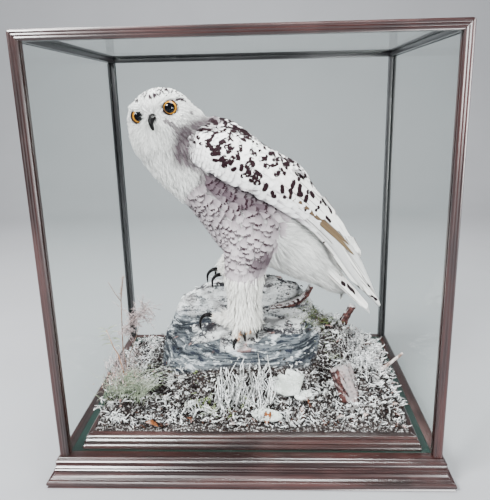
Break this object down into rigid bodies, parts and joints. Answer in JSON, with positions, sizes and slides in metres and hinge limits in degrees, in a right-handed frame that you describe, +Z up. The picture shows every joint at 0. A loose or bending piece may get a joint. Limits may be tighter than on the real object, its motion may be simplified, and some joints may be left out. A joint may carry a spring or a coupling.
{
  "type": "taxidermy snowy owl in a glazed case",
  "caption": "Mounted snowy owl perched on frosted rockwork with lichen and twigs, sealed in a glazed mahogany display case on a stepped plinth.",
  "frame": {"origin": "centre of the case's underside", "axes": "+X to the right of the glazed front, +Y to the back, +Z up; the owl's body points towards -X"},
  "size_m": [0.6794, 0.4834, 0.729],
  "materials": {
    "mahogany": "dark red-brown French-polished mahogany, glossy",
    "dark_wood": "blackened hardwood, satin",
    "floor_paint": "dark green paint on board, satin",
    "pane_glass": "clear sheet glass",
    "rockwork": "painted papier-mache rock with frost, moss and lichen, matte",
    "flat_stone": "pale grey-green slate, matte",
    "bark": "dark bark, matte",
    "pale_twig": "bleached twig, matte",
    "dry_plants": "dried moss, lichen, heather and grass with frost, matte",
    "plumage_white": "white down and feathers, matte",
    "plumage_barred": "white feathers with fine dark bars, matte",
    "plumage_spotted": "white feathers with dark brown spots, matte",
    "horn": "black horn of bill and claws, satin",
    "eye_glass": "orange-yellow glass eye with a black pupil"
  },
  "bodies": {
    "root": {"plinth_front": "mahogany", "plinth_right": "mahogany", "plinth_back": "mahogany", "plinth_left": "mahogany", "top_rail_front": "mahogany", "post_front_left": "mahogany", "post_front_right": "mahogany", "tray_front": "mahogany", "tray_right": "mahogany", "tray_back": "mahogany", "tray_left": "mahogany", "top_rail_right": "dark_wood", "top_rail_back": "dark_wood", "top_rail_left": "dark_wood", "post_back_left": "dark_wood", "post_back_right": "dark_wood", "base_board": "dark_wood", "floor_board": "floor_paint", "glass_front": "pane_glass", "glass_back": "pane_glass", "glass_left": "pane_glass", "glass_right": "pane_glass", "glass_roof": "pane_glass", "groundwork": "rockwork", "leaning_stone": "flat_stone", "bark_curl": "bark", "branch": "bark", "broken_stub": "pale_twig", "pale_twig": "pale_twig", "head": "plumage_white", "neck": "plumage_white", "shank_left": "plumage_white", "shank_right": "plumage_white", "foot_left": "plumage_white", "foot_right": "plumage_white", "tail": "plumage_white", "trunk": "plumage_barred", "thigh_left": "plumage_barred", "thigh_right": "plumage_barred", "wing_left": "plumage_spotted", "wing_right": "plumage_spotted", "flight_feathers_left": "plumage_spotted", "flight_feathers_right": "plumage_spotted", "bill": "horn", "claw_left_inner": "horn", "claw_left_middle": "horn", "claw_left_outer": "horn", "claw_left_hind": "horn", "claw_right_inner": "horn", "claw_right_middle": "horn", "claw_right_outer": "horn", "claw_right_hind": "horn", "eye_left": "eye_glass", "eye_right": "eye_glass"}
  },
  "joints": []
}
